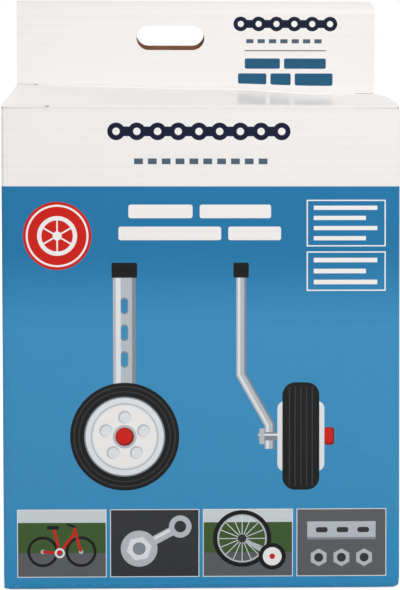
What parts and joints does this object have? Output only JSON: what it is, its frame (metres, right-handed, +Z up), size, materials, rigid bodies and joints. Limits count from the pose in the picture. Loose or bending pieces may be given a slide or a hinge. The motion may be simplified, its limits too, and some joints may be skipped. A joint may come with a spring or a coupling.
{
  "type": "hang-tab retail carton",
  "caption": "Closed corrugated retail carton with a folded double header, a hang slot through both layers and a tucked top; the box for a pair of bicycle training wheels.",
  "frame": {"origin": "middle of the base, on the surface the carton stands on", "axes": "+Z up towards the header's ridge, +X along the front panel to its right as seen from the front, -Y out of the front panel"},
  "size_m": [0.28, 0.112, 0.4155],
  "materials": {
    "board": "printed, semi-gloss varnish"
  },
  "bodies": {
    "root": {"carton": "board"}
  },
  "joints": []
}
